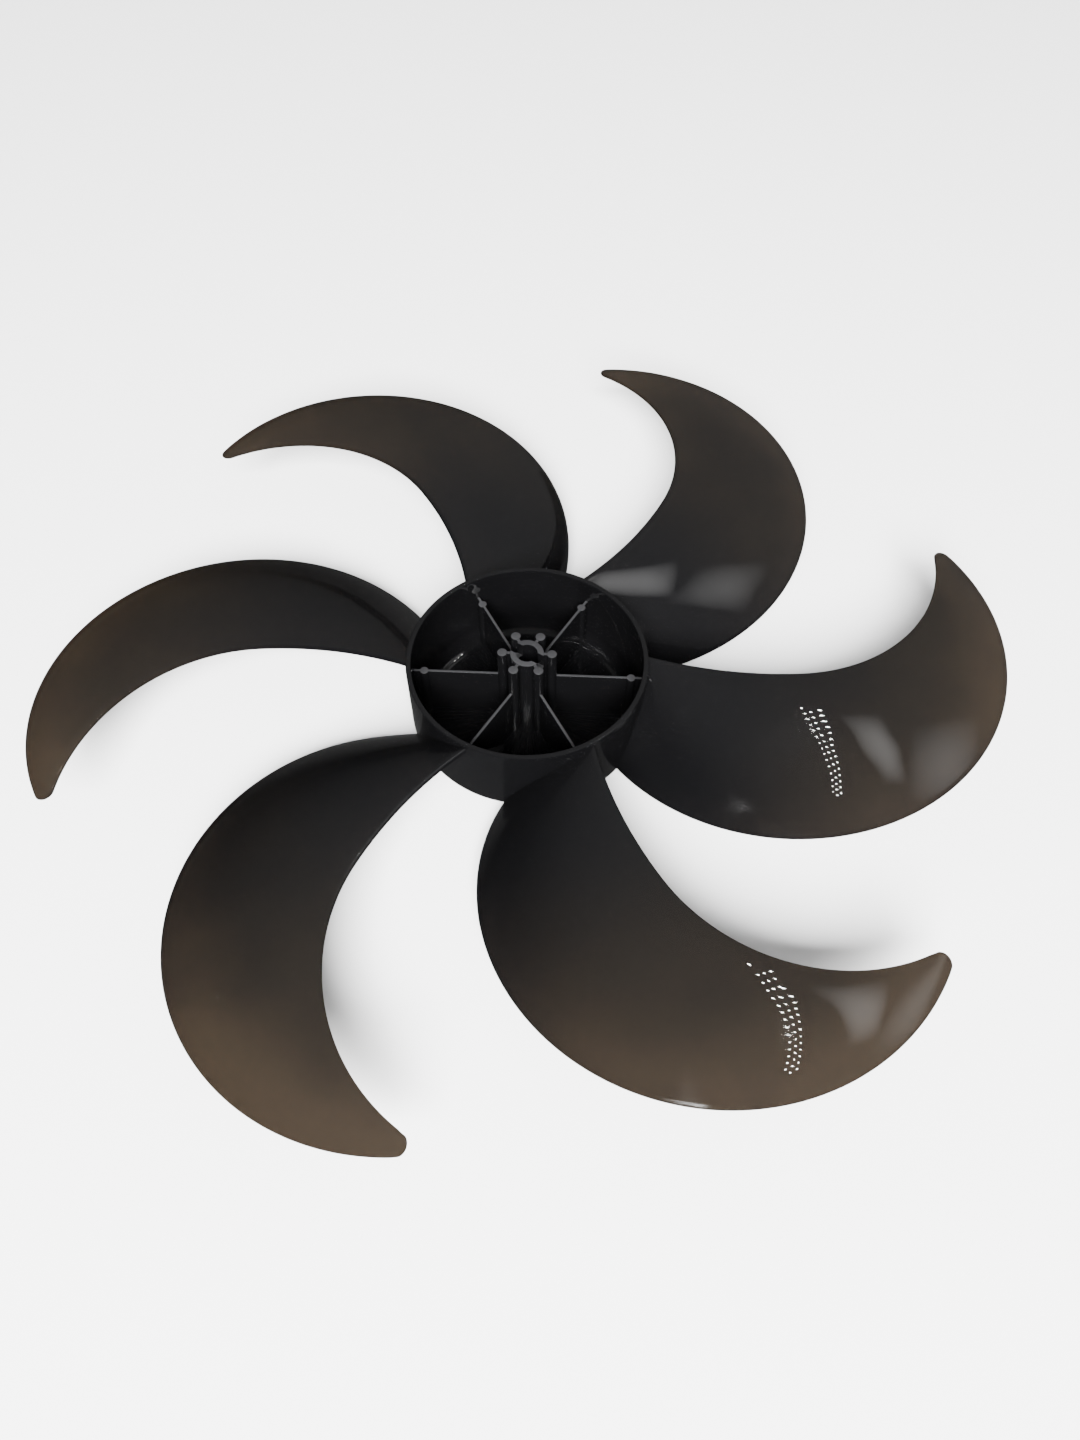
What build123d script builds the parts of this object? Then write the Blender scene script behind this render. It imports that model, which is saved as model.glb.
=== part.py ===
# Axial fan impeller: six crescent blades round an open hub cup, moulded in one piece.
# The rear, where the motor shaft enters, is up (+Z). The origin is the centre of the
# front face, on the shaft axis, and the shaft's cross pin lies along X.
# Sizes are in millimetres and angles in degrees.
from build123d import *
import os
from math import acos, atan, cos, degrees, radians

# --- hub cup ---
hub_diameter = 92.0
hub_depth = 37.0
hub_wall = 2.0
hub_floor = 2.4
hub_corner_radius = 8.0
rim_round = 0.4

# --- boss on the axis, and the motor shaft and nut that it takes ---
shaft_diameter = 8.0
shaft_clearance = 0.1
boss_diameter = 13.0
boss_above_rim = 2.4
pin_diameter = 4.0
pin_clearance = 0.4
pin_slot_depth = 6.0
nut_seat_diameter = 20.0
nut_seat_depth = 0.8

# --- ribs, and the ejector posts that stand in them ---
rib_count = 6
rib_turn = 30.0
rib_thickness = 1.2
rib_below_rim = 10.5
inner_post_diameter = 4.0
inner_post_radius = 9.4
outer_post_diameter = 3.6
outer_post_radius = 40.0

# --- blade outline along the axis, drawn with the centre of the back edge's arc on +X ---
blade_count = 6
blade_turn = 40.5
back_arc_offset = 105.0
back_arc_radius = 82.0
front_arc_offset = 107.0
front_arc_lead = 47.0
front_arc_radius = 67.5
root_arc_radius = 150.0
root_arc_direction = 85.0
tip_radius = 3.6

# --- blade heights: each edge falls below the rim by a power law from the root to the tip ---
back_root_height = 3.5
back_tip_drop = 6.8
back_edge_power = 1.85
front_root_drop = 2.2
front_tip_drop = 5.4
front_edge_power = 2.3

# --- blade sections ---
root_thickness = 2.4
tip_thickness = 1.6
root_arch = 0.07
tip_arch = 0.04
section_count = 12

# --- sizes that follow ---
hub_radius = hub_diameter / 2
pocket_radius = hub_radius - hub_wall
bore_radius = (shaft_diameter + shaft_clearance) / 2
boss_top = hub_depth + boss_above_rim
rib_top = hub_depth - rib_below_rim
pin_slot_width = pin_diameter + pin_clearance
up = Vector(0, 0, 1)
on_floor = (Align.CENTER, Align.CENTER, Align.MIN)


def polar(length, angle):
    """Plan vector of a length at an angle from +X."""
    return Vector(length, 0).rotate(Axis.Z, angle)


def bearing(vector):
    """Angle of a plan vector from +X."""
    return Vector(1, 0).get_signed_angle(vector, up)


def start_angle(centre, radius, reach):
    """Angle, seen from an arc's centre, at which the arc leaves a circle about the axis."""
    span = centre.length
    turn = acos((reach**2 - span**2 - radius**2) / (2 * span * radius))
    return bearing(centre) - degrees(turn)


# --- blade outline: the back edge is one arc and the front edge is two ---
back_centre = Vector(back_arc_offset, 0)
front_centre = Vector(front_arc_offset, front_arc_lead)
root_centre = front_centre + polar(root_arc_radius - front_arc_radius, root_arc_direction)


def centre_between_edges(radius):
    """Centre of the circle that touches the back arc from within and the front arc from without."""
    line = front_centre - back_centre
    to_back = back_arc_radius - radius
    to_front = front_arc_radius + radius
    along = (to_back**2 - to_front**2 + line.length**2) / (2 * line.length)
    beside = (to_back**2 - along**2) ** 0.5
    return back_centre + polar(along, bearing(line)) + polar(beside, bearing(line) - 90)


# The arcs start inside the hub, well behind its wall, and end just short of where they cross.
root_reach = pocket_radius - 2 * hub_wall
end_centre = centre_between_edges(tip_thickness)
back_start = start_angle(back_centre, back_arc_radius, root_reach)
back_end = bearing(end_centre - back_centre)
root_start = start_angle(root_centre, root_arc_radius, root_reach)
root_end = root_arc_direction - 180
front_end = bearing(end_centre - front_centre)

with BuildLine() as back_edge:
    CenterArc(back_centre, back_arc_radius, back_start, back_end - back_start)

with BuildLine() as front_edge:
    CenterArc(root_centre, root_arc_radius, root_start, root_end - root_start)
    CenterArc(front_centre, front_arc_radius, root_end, front_end - root_end)


def back_height(share):
    """Height of the back edge at a share of the way from the root to the tip."""
    root_drop = hub_depth - back_root_height
    return hub_depth - back_tip_drop - (root_drop - back_tip_drop) * (1 - share) ** back_edge_power


def front_height(share):
    """Height of the front edge at a share of the way from the root to the tip."""
    return hub_depth - front_root_drop - (front_tip_drop - front_root_drop) * share**front_edge_power


def blade_section(back, front, arch, thickness):
    """Section between two edge points: an upright strip, arched to the rear, with round ends."""
    chord = front - back
    half_width = chord.length / 2
    half_thickness = thickness / 2
    slope = degrees(atan(4 * arch))
    back_heading = polar(1, slope)
    front_heading = polar(1, -slope)
    tail_centre = back_heading * half_thickness - Vector(half_width, 0)
    nose_centre = Vector(half_width, 0) - front_heading * half_thickness
    back_top = tail_centre + polar(half_thickness, 90 + slope)
    back_under = tail_centre - polar(half_thickness, 90 + slope)
    front_top = nose_centre + polar(half_thickness, 90 - slope)
    front_under = nose_centre - polar(half_thickness, 90 - slope)
    crown_top = Vector(0, back_top.Y + front_top.X * 4 * arch)
    crown_under = Vector(0, back_under.Y + front_under.X * 4 * arch)
    # A cubic whose handles are 4/3 of the radius bulges by just that radius.
    handle = half_thickness * 4 / 3
    upright = Plane(back + chord / 2, x_dir=chord, z_dir=chord.cross(up))
    with BuildLine(mode=Mode.PRIVATE):
        top = Bezier(back_top, crown_top, front_top, mode=Mode.PRIVATE)
        nose = Bezier(front_top, front_top + front_heading * handle,
                      front_under + front_heading * handle, front_under, mode=Mode.PRIVATE)
        under = Bezier(front_under, crown_under, back_under, mode=Mode.PRIVATE)
        tail = Bezier(back_under, back_under - back_heading * handle,
                      back_top - back_heading * handle, back_top, mode=Mode.PRIVATE)
    return Face(Wire([top, nose, under, tail])).moved(upright.location)


# --- one blade: a loft through its sections, with the crossing of its edges cut to a round ---
sections = []
for index in range(section_count):
    share = index / (section_count - 1)
    arch = root_arch + (tip_arch - root_arch) * share
    thickness = root_thickness + (tip_thickness - root_thickness) * share
    back = back_edge.wire().position_at(share) + up * back_height(share)
    front = front_edge.wire().position_at(share) + up * front_height(share)
    sections.append(blade_section(back, front, arch, thickness))

tip_centre = centre_between_edges(tip_radius)
tip_spread = (tip_centre - back_centre).get_signed_angle(front_centre - tip_centre, up)
tip_bearing = bearing(tip_centre - back_centre) + tip_spread / 2
trim_length = (end_centre - tip_centre).length + 2 * tip_thickness

with BuildPart() as blade:
    loft(sections)
    with BuildSketch() as tip_trim:
        with Locations(Location(tip_centre, tip_bearing)):
            with Locations((tip_radius * cos(radians(tip_spread / 2)), 0)):
                Rectangle(trim_length, 6 * tip_radius, align=(Align.MIN, Align.CENTER))
            Circle(tip_radius, mode=Mode.SUBTRACT)
    extrude(amount=hub_depth, mode=Mode.SUBTRACT)

# --- hub: the outer form, and the pocket that opens it to the rear ---
with BuildPart() as hub_form:
    Cylinder(hub_radius, hub_depth, align=on_floor)
    fillet(hub_form.edges().filter_by(GeomType.CIRCLE).sort_by(Axis.Z)[0], hub_corner_radius)

with BuildPart(Plane.XY.offset(hub_floor)) as pocket:
    Cylinder(pocket_radius, hub_depth, align=on_floor)
    pocket_edge = pocket.edges().filter_by(GeomType.CIRCLE).sort_by(Axis.Z)[0]
    fillet(pocket_edge, hub_corner_radius - hub_wall)

# --- ribs with their outer posts, kept within the outer form ---
with BuildPart() as ribs:
    with BuildSketch():
        with PolarLocations(0, rib_count, start_angle=rib_turn):
            Rectangle(pocket_radius + hub_wall / 2, rib_thickness, align=(Align.MIN, Align.CENTER))
        with PolarLocations(outer_post_radius, rib_count, start_angle=rib_turn):
            Circle(outer_post_diameter / 2)
    extrude(amount=rib_top)
    add(hub_form.part, mode=Mode.INTERSECT)

# --- the moulding ---
with BuildPart() as impeller:
    add(hub_form.part)
    with PolarLocations(0, blade_count, start_angle=blade_turn):
        add(blade.part)
    add(pocket.part, mode=Mode.SUBTRACT)
    rim = impeller.edges().filter_by(GeomType.CIRCLE).group_by(Axis.Z)[-1]
    fillet(rim, rim_round)
    add(ribs.part)

    # Boss, with the inner posts webbed to it
    with BuildSketch():
        Circle(boss_diameter / 2)
        with PolarLocations(0, rib_count, start_angle=rib_turn):
            Rectangle(inner_post_radius, rib_thickness, align=(Align.MIN, Align.CENTER))
        with PolarLocations(inner_post_radius, rib_count, start_angle=rib_turn):
            Circle(inner_post_diameter / 2)
    extrude(amount=boss_top)

    # Shaft bore, slot for the cross pin, and seat of the nut in the front face
    Cylinder(bore_radius, boss_top, align=on_floor, mode=Mode.SUBTRACT)
    Cylinder(nut_seat_diameter / 2, nut_seat_depth, align=on_floor, mode=Mode.SUBTRACT)
    with Locations((0, 0, boss_top - pin_slot_depth)):
        Box(boss_diameter, pin_slot_width, pin_slot_depth, align=on_floor, mode=Mode.SUBTRACT)

impeller.part.label = "impeller"
os.makedirs("parts", exist_ok=True)
export_step(impeller.part, "parts/impeller.step")
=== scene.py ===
"""Looks of the axial fan impeller: one glossy moulding in smoky plastic, face down on a pale floor."""
import math

import bmesh
import bpy
import numpy as np
from mathutils import Matrix, Vector


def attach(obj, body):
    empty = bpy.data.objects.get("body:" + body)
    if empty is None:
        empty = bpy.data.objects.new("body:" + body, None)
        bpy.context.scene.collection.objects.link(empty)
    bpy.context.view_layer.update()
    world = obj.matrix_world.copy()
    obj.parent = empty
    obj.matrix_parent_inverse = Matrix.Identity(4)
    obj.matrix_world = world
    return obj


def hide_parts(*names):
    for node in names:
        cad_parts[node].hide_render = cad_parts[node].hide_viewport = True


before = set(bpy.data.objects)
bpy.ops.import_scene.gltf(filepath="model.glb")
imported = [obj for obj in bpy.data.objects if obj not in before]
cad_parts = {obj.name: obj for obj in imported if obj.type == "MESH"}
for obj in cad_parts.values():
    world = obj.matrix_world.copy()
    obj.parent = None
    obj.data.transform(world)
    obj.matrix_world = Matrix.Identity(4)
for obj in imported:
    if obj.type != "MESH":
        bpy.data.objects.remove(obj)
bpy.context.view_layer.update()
mm = 0.001


# --- Hub cup -------------------------------------------------------------------------------
# The cup that carries the blades and covers the end of the motor, open to the rear (up).
# Its wall, floor and rounded corner are one even thickness, as in any injection moulding.
hub_radius = 46 * mm
hub_depth = 37 * mm
hub_wall = 2 * mm
hub_floor = 2.4 * mm
corner_radius = 8 * mm
rim_round = 0.4 * mm
bore_radius = 4.05 * mm
seat_radius = 10 * mm
seat_depth = 0.8 * mm
hub_turns = 240
corner_steps, rim_steps = 16, 5


def arc(centre, radius, start, end, steps):
    """Points centre + radius (cos a, sin a), with a even from start to end in degrees."""
    angle = np.radians(np.linspace(start, end, steps + 1))
    return np.array(centre) + radius * np.stack([np.cos(angle), np.sin(angle)], 1)


def solid_from_rings(name, rings, wraps=False):
    """Closed mesh through rings of points, shape (ring, point, 3).

    Each ring joins the next by quads; the last joins the first if it wraps, and else both ends are faces.
    """
    count, size = rings.shape[:2]
    ring = np.arange(count if wraps else count - 1)[:, None]
    point = np.arange(size)[None, :]
    after = (ring + 1) % count
    beside = (point + 1) % size
    corners = [ring * size + point, ring * size + beside, after * size + beside, after * size + point]
    faces = np.stack([np.broadcast_to(c, (len(ring), size)) for c in corners], 2).reshape(-1, 4).tolist()
    if not wraps:
        faces.append(list(range(size))[::-1])
        faces.append(list(range((count - 1) * size, count * size)))
    mesh = bpy.data.meshes.new(name)
    mesh.from_pydata(rings.reshape(-1, 3).tolist(), [], faces)
    solid = bpy.data.objects.new(name, mesh)
    bpy.context.scene.collection.objects.link(solid)
    return solid


def revolved(name, profile, turns):
    """Ring about the axis: point (r, z) of a closed profile at turn a is (r cos a, r sin a, z)."""
    turn = np.linspace(0, 2 * np.pi, turns, endpoint=False)[:, None]
    radius = profile[None, :, 0]
    height = np.broadcast_to(profile[None, :, 1], (turns, len(profile)))
    return solid_from_rings(name, np.stack([radius * np.cos(turn), radius * np.sin(turn), height], 2), True)


corner_centre = (hub_radius - corner_radius, corner_radius)
inner_centre = (hub_radius - corner_radius, hub_floor + corner_radius - hub_wall)
rim_outer = (hub_radius - rim_round, hub_depth - rim_round)
rim_inner = (hub_radius - hub_wall + rim_round, hub_depth - rim_round)
cup_profile = np.concatenate([
    [(seat_radius, seat_depth), (seat_radius, 0)],
    arc(corner_centre, corner_radius, -90, 0, corner_steps),
    arc(rim_outer, rim_round, 0, 90, rim_steps),
    arc(rim_inner, rim_round, 90, 180, rim_steps),
    arc(inner_centre, corner_radius - hub_wall, 0, -90, corner_steps - 2),
    [(bore_radius, hub_floor), (bore_radius, seat_depth)],
])
cup = revolved("cup", cup_profile, hub_turns)


# --- Ribs ----------------------------------------------------------------------------------
# Six thin ribs stiffen the cup between its boss and its wall. Each has a soft upper edge, and
# an ejector post stands in its outer end, where a pin pushes the moulding off the tool.
rib_count = 6
rib_turn = 30
rib_half = 0.6 * mm
rib_top = 26.5 * mm
rib_start = 5 * mm
rib_edge = 0.2 * mm
outer_post_radius = 1.8 * mm
outer_post_reach = 40 * mm
post_edge = 0.25 * mm
post_sides = 40
sunk = 1.2 * mm
middle_radius = corner_radius - hub_wall / 2
rib_steps, edge_steps = 12, 4


def turned(points, angle):
    """Points turned by an angle in degrees about the axis."""
    c, s = math.cos(math.radians(angle)), math.sin(math.radians(angle))
    return points @ np.array([[c, s, 0], [-s, c, 0], [0, 0, 1]])


def wall_middle(reach):
    """Height of the middle of the cup's wall at a radius: the floor's, then a quarter circle."""
    outward = np.clip(reach - corner_centre[0], 0, middle_radius)
    return corner_radius - np.sqrt(middle_radius**2 - outward**2)


def rib(name, angle):
    """One rib: its section, flat-sided with a rounded top, carried outwards with its foot in the cup."""
    over_floor = np.linspace(rib_start, corner_centre[0], rib_steps)[:-1]
    over_corner = corner_centre[0] + middle_radius * np.sin(np.radians(np.linspace(0, 90, rib_steps)))
    outward = np.concatenate([over_floor, over_corner])
    left = arc((-rib_half + rib_edge, rib_top - rib_edge), rib_edge, 180, 90, edge_steps)
    right = arc((rib_half - rib_edge, rib_top - rib_edge), rib_edge, 90, 0, edge_steps)
    upper = np.concatenate([left, right])
    rings = np.zeros((len(outward), len(upper) + 2, 3))
    rings[:, :, 0] = outward[:, None]
    rings[:, 1:-1, 1] = upper[:, 0]
    rings[:, 0, 1] = -rib_half
    rings[:, -1, 1] = rib_half
    rings[:, 1:-1, 2] = upper[:, 1]
    rings[:, [0, -1], 2] = wall_middle(outward)[:, None]
    return solid_from_rings(name, turned(rings, angle))


def post(name, radius, reach, angle, bottom, top, sides=post_sides):
    """Upright post: circles of one radius, drawn in over a quarter round of post_edge at the top."""
    turn = np.linspace(0, 2 * np.pi, sides, endpoint=False)[None, :]
    fall = np.radians(np.linspace(0, 90, edge_steps + 1))
    size = np.concatenate([[radius], radius - post_edge + post_edge * np.cos(fall)])[:, None]
    height = np.concatenate([[bottom], top - post_edge + post_edge * np.sin(fall)])[:, None]
    rings = np.stack([reach + size * np.cos(turn), size * np.sin(turn), height + 0 * turn], 2)
    return solid_from_rings(name, turned(rings, angle))


rib_angles = [rib_turn + 360 / rib_count * k for k in range(rib_count)]
ribs = [rib(f"rib_{k}", angle) for k, angle in enumerate(rib_angles)]
outer_posts = [post(f"outer_post_{k}", outer_post_radius, outer_post_reach, angle, sunk, rib_top)
               for k, angle in enumerate(rib_angles)]


# --- Boss ----------------------------------------------------------------------------------
# The centre boss slides on the motor shaft and stands a little above the rim. Small ejector
# posts stand round it on short webs, and a slot across its end takes the shaft's cross pin.
boss_radius = 6.5 * mm
boss_top = 39.4 * mm
inner_post_radius = 2 * mm
inner_post_reach = 9.4 * mm
slot_half = 2.2 * mm
slot_depth = 6 * mm
web_drop = 0.1 * mm
boss_sides = 96


def block(name, low, high, angle=0):
    """Plain block between two corners, turned about the axis."""
    corners = np.array([(low[0], low[1]), (high[0], low[1]), (high[0], high[1]), (low[0], high[1])])
    rings = np.stack([np.column_stack([corners, np.full(4, z)]) for z in (low[2], high[2])])
    return solid_from_rings(name, turned(rings, angle))


boss = post("boss", boss_radius, 0, 0, sunk, boss_top, boss_sides)
inner_posts = [post(f"inner_post_{k}", inner_post_radius, inner_post_reach, angle, sunk, boss_top)
               for k, angle in enumerate(rib_angles)]
web_low = (rib_start, -rib_half, sunk)
web_high = (inner_post_reach, rib_half, boss_top - web_drop)
webs = [block(f"web_{k}", web_low, web_high, angle) for k, angle in enumerate(rib_angles)]
bore = post("bore", bore_radius, 0, 0, 0, 2 * boss_top, boss_sides)
slot_low = (-boss_radius, -slot_half, boss_top - slot_depth)
slot = block("slot", slot_low, (boss_radius, slot_half, 2 * boss_top))


# --- Blades --------------------------------------------------------------------------------
# Six forward-swept crescents, thick at the root and thin at the tip, arched towards the rear.
# In plan the back edge is one arc, the front edge is two, and a small round closes the tip.
blade_count = 6
blade_turn = 40.5
back_centre = np.array([105, 0]) * mm
back_radius = 81.7 * mm
front_centre = np.array([107, 47]) * mm
front_radius = 67.5 * mm
root_radius = 150 * mm
root_direction = 85
tip_radius = 3.6 * mm
back_root, back_tip = 3.5 * mm, 30.2 * mm
front_root, front_tip = 34.8 * mm, 31.6 * mm
back_power, front_power = 1.85, 2.3
root_thickness, tip_thickness = 2.4 * mm, 1.6 * mm
root_arch, tip_arch = 0.07, 0.04
blade_start = 44.3 * mm
edges_begin = hub_radius - 3 * hub_wall
least_inward = 0.004 * mm
rows, columns = 104, 60
tip_crowding = 1.6
fine_stretch, fine_steps = 0.014, 6
nudge = 1e-4
table_size = 1201


def unit(angle):
    """Plan direction at an angle in degrees."""
    return np.array([math.cos(math.radians(angle)), math.sin(math.radians(angle))])


def bearing(vector):
    """Angle of a plan vector in degrees."""
    return math.degrees(math.atan2(vector[1], vector[0]))


def start_angle(centre, radius):
    """Angle, seen from an arc's centre, at which the arc crosses the circle where the edges begin."""
    span = float(np.hypot(*centre))
    turn = math.acos((edges_begin**2 - span**2 - radius**2) / (2 * span * radius))
    return bearing(centre) - math.degrees(turn)


def between_edges(radius):
    """Centre of the circle that touches the back arc from within and the front arc from without."""
    line = front_centre - back_centre
    span = float(np.hypot(*line))
    to_back, to_front = back_radius - radius, front_radius + radius
    along = (to_back**2 - to_front**2 + span**2) / (2 * span)
    beside = math.sqrt(to_back**2 - along**2)
    return back_centre + along * unit(bearing(line)) + beside * unit(bearing(line) - 90)


root_centre = front_centre + (root_radius - front_radius) * unit(root_direction)
tip_centre = between_edges(tip_radius)
end_centre = between_edges(tip_thickness)
back_start, back_end = start_angle(back_centre, back_radius), bearing(end_centre - back_centre)
root_start, root_end = start_angle(root_centre, root_radius), root_direction - 180
front_end = bearing(end_centre - front_centre)


def back_edge(share):
    """Back edge: plan point on its arc, and height tip - (tip - root) (1 - share)^power."""
    angle = np.radians(back_start + (back_end - back_start) * share)
    plan = [back_centre[i] + back_radius * f(angle) for i, f in enumerate((np.cos, np.sin))]
    return np.stack(plan + [back_tip - (back_tip - back_root) * (1 - share) ** back_power], -1)


def front_edge(share):
    """Front edge: plan point on the root arc, then the front arc, by length; height falls as share^power."""
    root_length = root_radius * math.radians(root_end - root_start)
    front_length = front_radius * math.radians(front_end - root_end)
    length = share * (root_length + front_length)
    on_root = length < root_length
    angle = np.where(on_root, math.radians(root_start) + length / root_radius,
                     math.radians(root_end) + (length - root_length) / front_radius)
    radius = np.where(on_root, root_radius, front_radius)
    plan = [np.where(on_root, root_centre[i], front_centre[i]) + radius * f(angle)
            for i, f in enumerate((np.cos, np.sin))]
    return np.stack(plan + [front_root - (front_root - front_tip) * share**front_power], -1)


def middle_surface(share, across):
    """Mid-surface: back edge + across * chord + 4 arch |chord| across (1 - across), square to the chord."""
    back = back_edge(share)
    chord = front_edge(share) - back
    length = np.linalg.norm(chord, axis=-1, keepdims=True)
    level = np.hypot(chord[..., 0], chord[..., 1])[..., None]
    square = np.concatenate([-chord[..., :2] * chord[..., 2:] / level, level], -1) / length
    arch = (root_arch + (tip_arch - root_arch) * share)[..., None]
    v = across[..., None]
    return back + chord * v + 4 * arch * length * v * (1 - v) * square


def share_where(reached, across):
    """Share at which each line of constant across first meets a test, read off a fine table of shares."""
    shares = np.linspace(0, 1, table_size)
    table = reached(middle_surface(*np.broadcast_arrays(shares[:, None], across[None, :])))
    first = np.clip(np.argmax(table > 0, axis=0), 1, None)
    line = np.arange(len(across))
    before, after = table[first - 1, line], table[first, line]
    return shares[first - 1] + (shares[1] - shares[0]) * -before / (after - before)


def beyond_tip(points):
    """How far points are outside the tip's circle, for those past its centre; negative elsewhere."""
    away = points[..., :2] - tip_centre
    ahead = away @ unit(bearing(end_centre - tip_centre))
    return np.where(ahead > 0, np.hypot(away[..., 0], away[..., 1]) - tip_radius, -1.0)


def graded():
    """Even steps from 0 to 1, with steps that shrink towards both ends over the fine stretch."""
    ends = fine_stretch * (1 - np.cos(np.radians(np.linspace(0, 90, fine_steps + 1))))
    even = np.linspace(fine_stretch, 1 - fine_stretch, columns - 2 * fine_steps)
    return np.concatenate([ends, even[1:-1], 1 - ends[::-1]])


def blade(name, angle):
    """One blade: mid-surface -/+ half thickness along its normal, which falls to nothing at the outline.

    The half thickness at a distance d from the outline is sqrt(h^2 - (h - d)^2) for d < h, a round edge.
    """
    across = graded()
    start = share_where(lambda p: np.hypot(p[..., 0], p[..., 1]) - blade_start, across)
    end = share_where(beyond_tip, across)
    along = 1 - (1 - np.linspace(0, 1, rows)) ** tip_crowding
    share = start + (end - start) * along[:, None]
    v = np.broadcast_to(across, share.shape)
    middle = middle_surface(share, v)
    d_along = middle_surface(share + nudge, v) - middle_surface(share - nudge, v)
    d_across = middle_surface(share, v + nudge) - middle_surface(share, v - nudge)
    normal = np.cross(d_along, d_across)
    normal /= np.linalg.norm(normal, axis=-1, keepdims=True)
    half = (root_thickness + (tip_thickness - root_thickness) * share) / 2
    chord = np.linalg.norm(front_edge(share) - back_edge(share), axis=-1)
    inward = np.minimum(np.minimum(v, 1 - v) * chord, np.maximum(-beyond_tip(middle), 0))
    inward = np.clip(inward, least_inward, half)
    inward[:, [0, -1]] = inward[-1, :] = 0
    offset = np.sqrt(half**2 - (half - inward) ** 2)[..., None] * normal
    upper, under = middle + offset, middle - offset
    index = np.arange(rows * columns).reshape(rows, columns)
    below = index + rows * columns
    below[:, 0], below[:, -1], below[-1, :] = index[:, 0], index[:, -1], index[-1, :]

    def quads(grid):
        return np.stack([grid[:-1, :-1], grid[1:, :-1], grid[1:, 1:], grid[:-1, 1:]], -1).reshape(-1, 4)

    root = np.concatenate([index[0, :], below[0, -2:0:-1]])
    faces = np.concatenate([quads(index), quads(below)[:, ::-1]]).tolist() + [root.tolist()]
    points = turned(np.concatenate([upper.reshape(-1, 3), under.reshape(-1, 3)]), angle)
    mesh = bpy.data.meshes.new(name)
    mesh.from_pydata(points.tolist(), [], faces)
    mesh.validate()
    solid = bpy.data.objects.new(name, mesh)
    bpy.context.scene.collection.objects.link(solid)
    return solid


blades = [blade(f"blade_{k}", blade_turn + 360 / blade_count * k) for k in range(blade_count)]


# --- The moulding --------------------------------------------------------------------------
# Cup, ribs, posts, boss and blades leave the tool as one piece of styrene acrylonitrile, a hard
# clear plastic dyed a smoky brown-grey, with the shine of a polished tool.


sharp_angle = 32
level_limit = 0.9


def turn_outwards(solid):
    """Drop the loose points of a closed solid and turn its faces outwards."""
    work = bmesh.new()
    work.from_mesh(solid.data)
    loose = [v for v in work.verts if not v.link_faces]
    bmesh.ops.delete(work, geom=loose, context="VERTS")
    bmesh.ops.recalc_face_normals(work, faces=work.faces)
    work.to_mesh(solid.data)
    work.free()


def joined(name, body, pieces, cutters):
    """One solid: the body with all pieces added and then all cutters taken away."""
    for solid in [body] + pieces + cutters:
        turn_outwards(solid)
    for tool in pieces + cutters:
        step = body.modifiers.new(tool.name, "BOOLEAN")
        step.operation = "DIFFERENCE" if tool in cutters else "UNION"
        step.solver = "MANIFOLD"
        step.object = tool
    bpy.context.view_layer.update()
    whole = body.evaluated_get(bpy.context.evaluated_depsgraph_get())
    mesh = bpy.data.meshes.new_from_object(whole)
    mesh.name = name
    for solid in [body] + pieces + cutters:
        bpy.data.objects.remove(solid)
    mesh.materials.clear()
    piece = bpy.data.objects.new(name, mesh)
    bpy.context.scene.collection.objects.link(piece)
    return piece


def mark_matt_highlit_tops(mesh):
    """Face attribute of 1 on the level tops inside the cup, which stay as rough as the tool's pins and get a
    painted highlight grey.
    """
    centres, normals = np.empty((2, len(mesh.polygons), 3))
    mesh.polygons.foreach_get("center", centres.ravel())
    mesh.polygons.foreach_get("normal", normals.ravel())
    in_cup = np.hypot(centres[:, 0], centres[:, 1]) < hub_radius - hub_wall
    matt = in_cup & (centres[:, 2] > hub_depth / 2) & (normals[:, 2] > level_limit)
    mesh.attributes.new("matt_highlit_tops", "FLOAT", "FACE").data.foreach_set("value", matt.astype(float))


added = ribs + outer_posts + [boss] + webs + inner_posts + blades
moulding = joined("impeller_moulding", cup, added, [bore, slot])
moulding.data.shade_smooth()
moulding.data.set_sharp_from_angle(angle=math.radians(sharp_angle))
mark_matt_highlit_tops(moulding.data)

# Painted shade: the blades' base colour is dark by the hub and low down by the floor, where the floor under
# them is in shade, and goes to the plastic's brown further out and higher up.
painted_root_shade = (0.010, 0.010, 0.011, 1)
tip_tint = (0.038, 0.030, 0.022, 1)
shade_reach_from, shade_reach_to = 70 * mm, 185 * mm
shade_height_from, shade_height_to = 4 * mm, 30 * mm
clouds, cloud_from, cloud_to = (14, 3), 0.3, 0.7
thin_cloud, thick_cloud = 0.45, 1.15
# The level tops inside the cup are rough, and their lighter grey is a painted highlight.
matt_highlight_tint, matt_roughness = (0.045, 0.045, 0.05, 1), 0.5
dust_tint = (0.4, 0.4, 0.38, 1)
speck_spacing, speck_size = 9 * mm, 0.03
dusty_from, dusty_to = 0.6, 0.65
polish, smear = 0.01, 0.12
smears, smear_from, smear_to = (35, 6), 0.52, 0.72
waves, wave_depth = (22, 2), 0.4 * mm
hairlines, hairline_depth = (1, 1), 0.0006 * mm
hairline_scale = (900, 900, 60)
clear_share = 0.85
refraction = 1.57
inner_colour = (0.3, 0.2, 0.1, 1)
inner_density = 900


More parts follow.
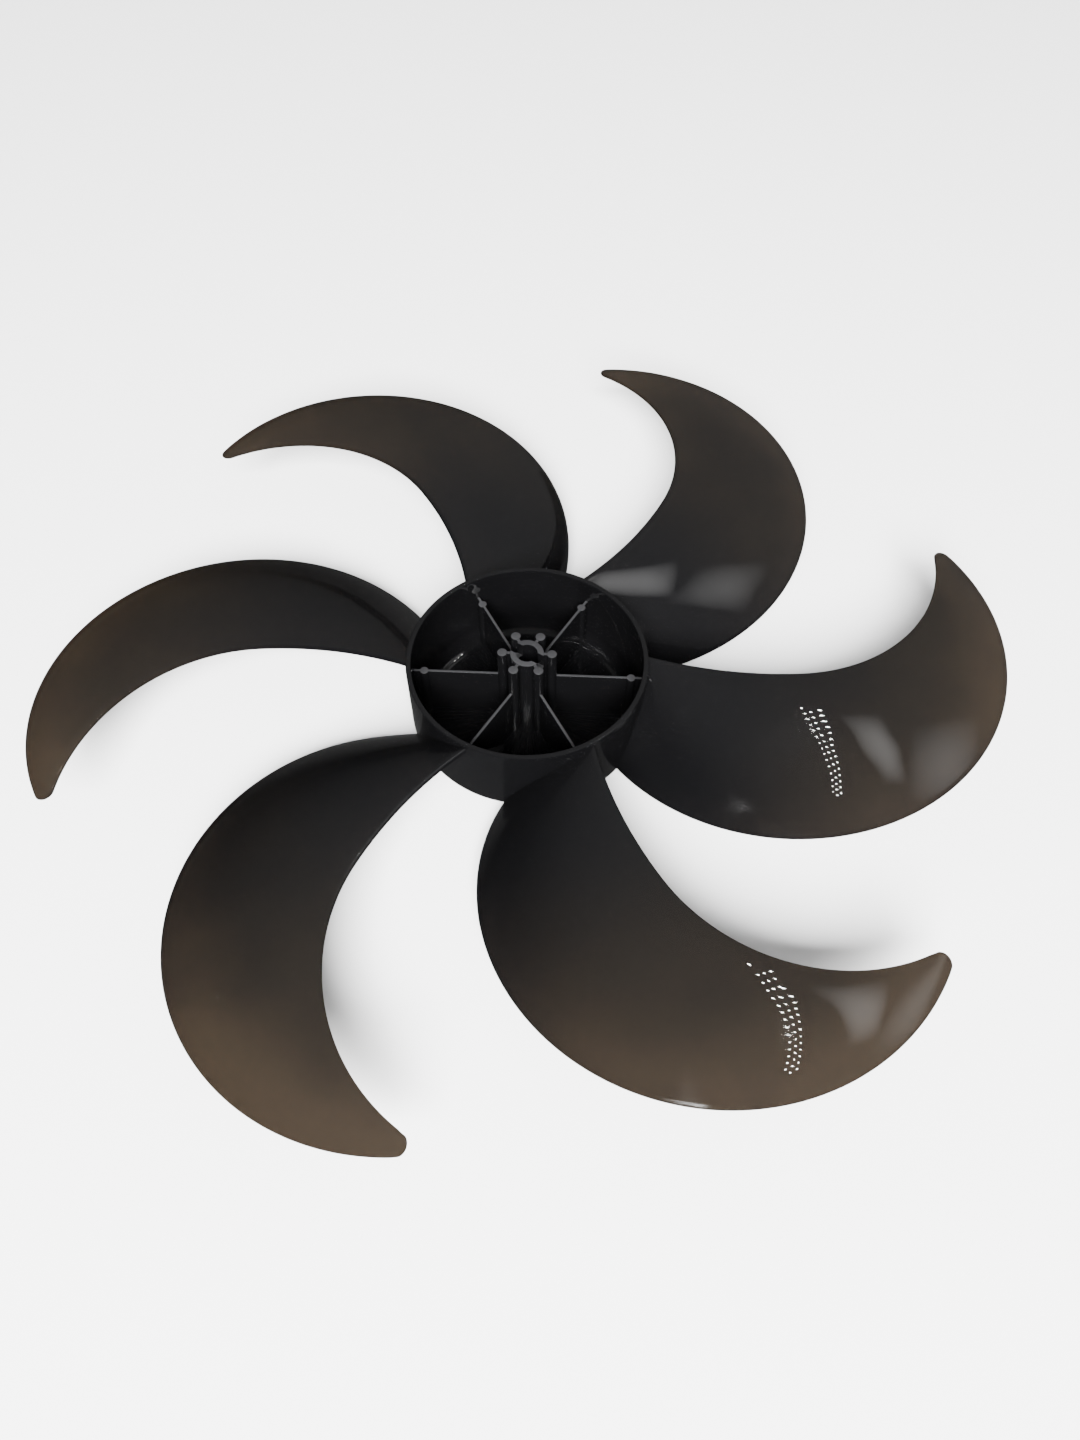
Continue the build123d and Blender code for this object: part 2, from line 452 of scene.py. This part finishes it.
def smoky_plastic():
    """Clear shader with a brown absorption inside, polished, with matt tops lightened by a painted
    highlight, faint smears and dust.

    The colour goes from a painted shade, dark by the hub and low down by the floor, to the tip's brown by
    smoothstep(radius) * smoothstep(height), clouded by a slow noise. The dust is a speck at the points of
    some cells, up to speck_size of a cell wide. The bump is slow waves left by the cooling, and fine
    hairlines drawn out along the shaft.
    """
    material = bpy.data.materials.new("smoky_plastic")
    material.use_nodes = True
    nodes, links = material.node_tree.nodes, material.node_tree.links
    shader = nodes["Principled BSDF"]
    place = nodes.new("ShaderNodeTexCoord").outputs["Object"]

    def scaled(value, amount):
        step = nodes.new("ShaderNodeVectorMath")
        step.operation = "MULTIPLY"
        links.new(value, step.inputs[0])
        step.inputs[1].default_value = amount
        return step.outputs["Vector"]

    def rise(value, low, high, bottom=0.0, top=1.0):
        ramp = nodes.new("ShaderNodeMapRange")
        ramp.interpolation_type = "SMOOTHSTEP"
        for socket, number in zip(("From Min", "From Max", "To Min", "To Max"), (low, high, bottom, top)):
            ramp.inputs[socket].default_value = number
        links.new(value, ramp.inputs["Value"])
        return ramp.outputs["Result"]

    def times(first, second):
        product = nodes.new("ShaderNodeMath")
        product.operation = "MULTIPLY"
        links.new(first, product.inputs[0])
        links.new(second, product.inputs[1])
        return product.outputs["Value"]

    def noise(value, scale, detail):
        texture = nodes.new("ShaderNodeTexNoise")
        texture.inputs["Scale"].default_value = scale
        texture.inputs["Detail"].default_value = detail
        links.new(value, texture.inputs["Vector"])
        return texture.outputs["Fac"]

    def blended(share, first, second):
        mix = nodes.new("ShaderNodeMix")
        mix.data_type = "RGBA"
        links.new(share, mix.inputs["Factor"])
        for socket, colour in (("A", first), ("B", second)):
            if isinstance(colour, tuple):
                mix.inputs[socket].default_value = colour
            else:
                links.new(colour, mix.inputs[socket])
        return mix.outputs["Result"]

    reach = nodes.new("ShaderNodeVectorMath")
    reach.operation = "LENGTH"
    links.new(scaled(place, (1, 1, 0)), reach.inputs[0])
    parts = nodes.new("ShaderNodeSeparateXYZ")
    links.new(place, parts.inputs["Vector"])
    # Painted shade in the base colour: darker by the hub and near the floor, brown further out and up.
    outwards = rise(reach.outputs["Value"], shade_reach_from, shade_reach_to)
    share = times(outwards, rise(parts.outputs["Z"], shade_height_from, shade_height_to))
    share = times(share, rise(noise(place, *clouds), cloud_from, cloud_to, thin_cloud, thick_cloud))
    tops = nodes.new("ShaderNodeAttribute")
    tops.attribute_name = "matt_highlit_tops"
    cells = nodes.new("ShaderNodeTexVoronoi")
    cells.inputs["Scale"].default_value = 1 / speck_spacing
    links.new(place, cells.inputs["Vector"])
    speck = rise(cells.outputs["Distance"], speck_size, speck_size / 2)
    dust = times(speck, rise(cells.outputs["Color"], dusty_from, dusty_to))
    coloured = blended(share, painted_root_shade, tip_tint)
    # Painted highlight: the level tops inside the cup are given a lighter grey.
    coloured = blended(tops.outputs["Fac"], coloured, matt_highlight_tint)
    links.new(blended(dust, coloured, dust_tint), shader.inputs["Base Color"])
    smeared = rise(noise(place, *smears), smear_from, smear_to, polish, smear)
    rough = nodes.new("ShaderNodeMath")
    rough.operation = "MAXIMUM"
    links.new(smeared, rough.inputs[0])
    links.new(rise(tops.outputs["Fac"], 0, 1, 0, matt_roughness), rough.inputs[1])
    links.new(rough.outputs["Value"], shader.inputs["Roughness"])
    bump = None
    for height, depth in (
        (noise(place, *waves), wave_depth),
        (noise(scaled(place, hairline_scale), *hairlines), hairline_depth),
    ):
        step = nodes.new("ShaderNodeBump")
        step.inputs["Strength"].default_value = 1
        step.inputs["Distance"].default_value = depth
        links.new(height, step.inputs["Height"])
        if bump:
            links.new(bump, step.inputs["Normal"])
        bump = step.outputs["Normal"]
    links.new(bump, shader.inputs["Normal"])
    shader.inputs["Transmission Weight"].default_value = clear_share
    shader.inputs["IOR"].default_value = refraction
    inside = nodes.new("ShaderNodeVolumeAbsorption")
    inside.inputs["Color"].default_value = inner_colour
    inside.inputs["Density"].default_value = inner_density
    links.new(inside.outputs["Volume"], nodes["Material Output"].inputs["Volume"])
    return material


moulding.data.materials.append(smoky_plastic())
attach(moulding, "root")
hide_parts("impeller")


# --- Floor, light and camera ---------------------------------------------------------------
# The cup's front face rests on a plain pale sheet that curves up into a wall all round. A main
# light serves the sheet; ceiling lights, a panel, a window and a dim room show in the gloss.
flat_reach, curve, wall_top = 3.0, 1.2, 4.0
wall_reach = flat_reach + curve
sheet_middle = 0.01
curve_steps, sheet_turns = 12, 96
paper = (0.7, 0.7, 0.7, 1)
paper_roughness = 0.7
ceiling = 2.5
key_size, key_power = (1.2, 1.2), 700
panel_size, panel_power = (1.3, 0.35), 3.2
window_size, window_power = (1.5, 1.0), 6
strip_rows, strip_columns = 15, 3
lamp_size, lamp_power = (0.014, 0.014), 0.14


def heading(azimuth, elevation):
    """Unit vector to an azimuth and an elevation in degrees."""
    a, e = math.radians(azimuth), math.radians(elevation)
    return Vector((math.cos(e) * math.cos(a), math.cos(e) * math.sin(a), math.sin(e)))


def swept_sheet(name):
    """Sheet in one piece: a disc whose rim curves up by a quarter circle into a round wall."""
    rim = arc((flat_reach, curve), curve, -90, 0, curve_steps)
    profile = np.concatenate([[(sheet_middle, 0)], rim, [(wall_reach, wall_top)]])
    turn = np.linspace(0, 2 * np.pi, sheet_turns, endpoint=False)[:, None]
    height = np.broadcast_to(profile[:, 1], (sheet_turns, len(profile)))
    points = np.stack([profile[:, 0] * np.cos(turn), profile[:, 0] * np.sin(turn), height], 2)
    index = np.arange(sheet_turns * len(profile)).reshape(sheet_turns, len(profile))
    beside = np.roll(index, -1, axis=0)
    quads = np.stack([index[:, 1:], beside[:, 1:], beside[:, :-1], index[:, :-1]], 2).reshape(-1, 4)
    mesh = bpy.data.meshes.new(name)
    mesh.from_pydata(points.reshape(-1, 3).tolist(), [], quads.tolist() + [index[:, 0].tolist()])
    surface = bpy.data.objects.new(name, mesh)
    bpy.context.scene.collection.objects.link(surface)
    return surface


def pale_paper(name):
    """Matt pale paper of one even colour."""
    material = bpy.data.materials.new(name)
    material.use_nodes = True
    shader = material.node_tree.nodes["Principled BSDF"]
    shader.inputs["Base Color"].default_value = paper
    shader.inputs["Roughness"].default_value = paper_roughness
    return material


def fade(light):
    """Strength 4 u (1 - u) * 4 v (1 - v) over the light's face, so it has no hard edge."""
    light.use_nodes = True
    nodes, links = light.node_tree.nodes, light.node_tree.links
    face = nodes.new("ShaderNodeNewGeometry").outputs["Parametric"]
    rest = nodes.new("ShaderNodeVectorMath")
    rest.operation = "MULTIPLY_ADD"
    rest.inputs[1].default_value = (-4, -4, -4)
    rest.inputs[2].default_value = (4, 4, 4)
    links.new(face, rest.inputs[0])
    humps = nodes.new("ShaderNodeVectorMath")
    humps.operation = "MULTIPLY"
    links.new(face, humps.inputs[0])
    links.new(rest.outputs["Vector"], humps.inputs[1])
    sides = nodes.new("ShaderNodeSeparateXYZ")
    links.new(humps.outputs["Vector"], sides.inputs["Vector"])
    strength = nodes.new("ShaderNodeMath")
    strength.operation = "MULTIPLY"
    links.new(sides.outputs["X"], strength.inputs[0])
    links.new(sides.outputs["Y"], strength.inputs[1])
    links.new(strength.outputs["Value"], nodes["Emission"].inputs["Strength"])


def soft_light(name, place, size, power):
    """Rectangular light turned to the middle of the hub."""
    light = bpy.data.lights.new(name, "AREA")
    light.shape = "RECTANGLE"
    light.size, light.size_y = size
    light.energy = power
    lamp = bpy.data.objects.new(name, light)
    facing = (-place).to_track_quat("-Z", "Y").to_matrix().to_4x4()
    lamp.matrix_world = Matrix.Translation(place) @ facing
    bpy.context.scene.collection.objects.link(lamp)
    return lamp


def room_light(glows):
    """Sum of two glows, each a smoothstep from low to high of a direction's dot product with towards."""
    world = bpy.data.worlds.new("room")
    world.use_nodes = True
    nodes, links = world.node_tree.nodes, world.node_tree.links
    direction = nodes.new("ShaderNodeTexCoord").outputs["Generated"]
    total = nodes.new("ShaderNodeMath")
    total.operation = "ADD"
    for socket, (towards, start, low, high) in zip(total.inputs, glows):
        product = nodes.new("ShaderNodeVectorMath")
        product.operation = "DOT_PRODUCT"
        product.inputs[1].default_value = towards
        links.new(direction, product.inputs[0])
        ramp = nodes.new("ShaderNodeMapRange")
        ramp.interpolation_type = "SMOOTHSTEP"
        for side, number in zip(("From Min", "From Max", "To Min", "To Max"), (start, 1, low, high)):
            ramp.inputs[side].default_value = number
        links.new(product.outputs["Value"], ramp.inputs["Value"])
        links.new(ramp.outputs["Result"], socket)
    links.new(total.outputs["Value"], nodes["Background"].inputs["Strength"])
    bpy.context.scene.world = world


backdrop = swept_sheet("sweep")
backdrop.data.materials.append(pale_paper("sweep"))
backdrop.data.shade_smooth()
backdrop.visible_glossy = False

lamp_corner = heading(70, 55)
under_floor = Vector((0, 0, -3))
room_light([(lamp_corner, 0.0, 0.1, 5.0), (under_floor, -0.2, 0, 2)])
key = soft_light("key", heading(300, 42) * 2.4, key_size, key_power)
key.visible_glossy = False
fade(soft_light("panel", Vector((0.33, 0.32, 1)) * ceiling, panel_size, panel_power).data)
fade(soft_light("window", Vector((0.66, 0.42, 1)) * ceiling, window_size, window_power).data)

strip_from = Vector((0.045, 0.445, 1)) * ceiling
strip_to = Vector((0.35, -0.09, 1)) * ceiling
strip_aside = Vector((0.040, 0.022, 0))
for column in range(strip_columns):
    for row in range(strip_rows):
        along = (row + column % 2 / 2) / (strip_rows - 1)
        place = strip_from.lerp(strip_to, along) + strip_aside * (column - 1)
        soft_light(f"strip_{column * strip_rows + row}", place, lamp_size, lamp_power)

camera_place = Vector((0.1427, -0.2125, 0.3622))
camera_aim = Vector((0.0198, -0.0218, 0.037))
camera_roll = -0.16
camera_lens = 27.3
camera = bpy.data.objects.new("camera", bpy.data.cameras.new("camera"))
camera.data.sensor_fit = "VERTICAL"
camera.data.sensor_height = 36
camera.data.lens = camera_lens
camera.data.clip_start = 0.01
facing = (camera_aim - camera_place).to_track_quat("-Z", "Y").to_matrix().to_4x4()
rolled = Matrix.Rotation(math.radians(camera_roll), 4, "Z")
camera.matrix_world = Matrix.Translation(camera_place) @ facing @ rolled
bpy.context.scene.collection.objects.link(camera)
bpy.context.scene.camera = camera
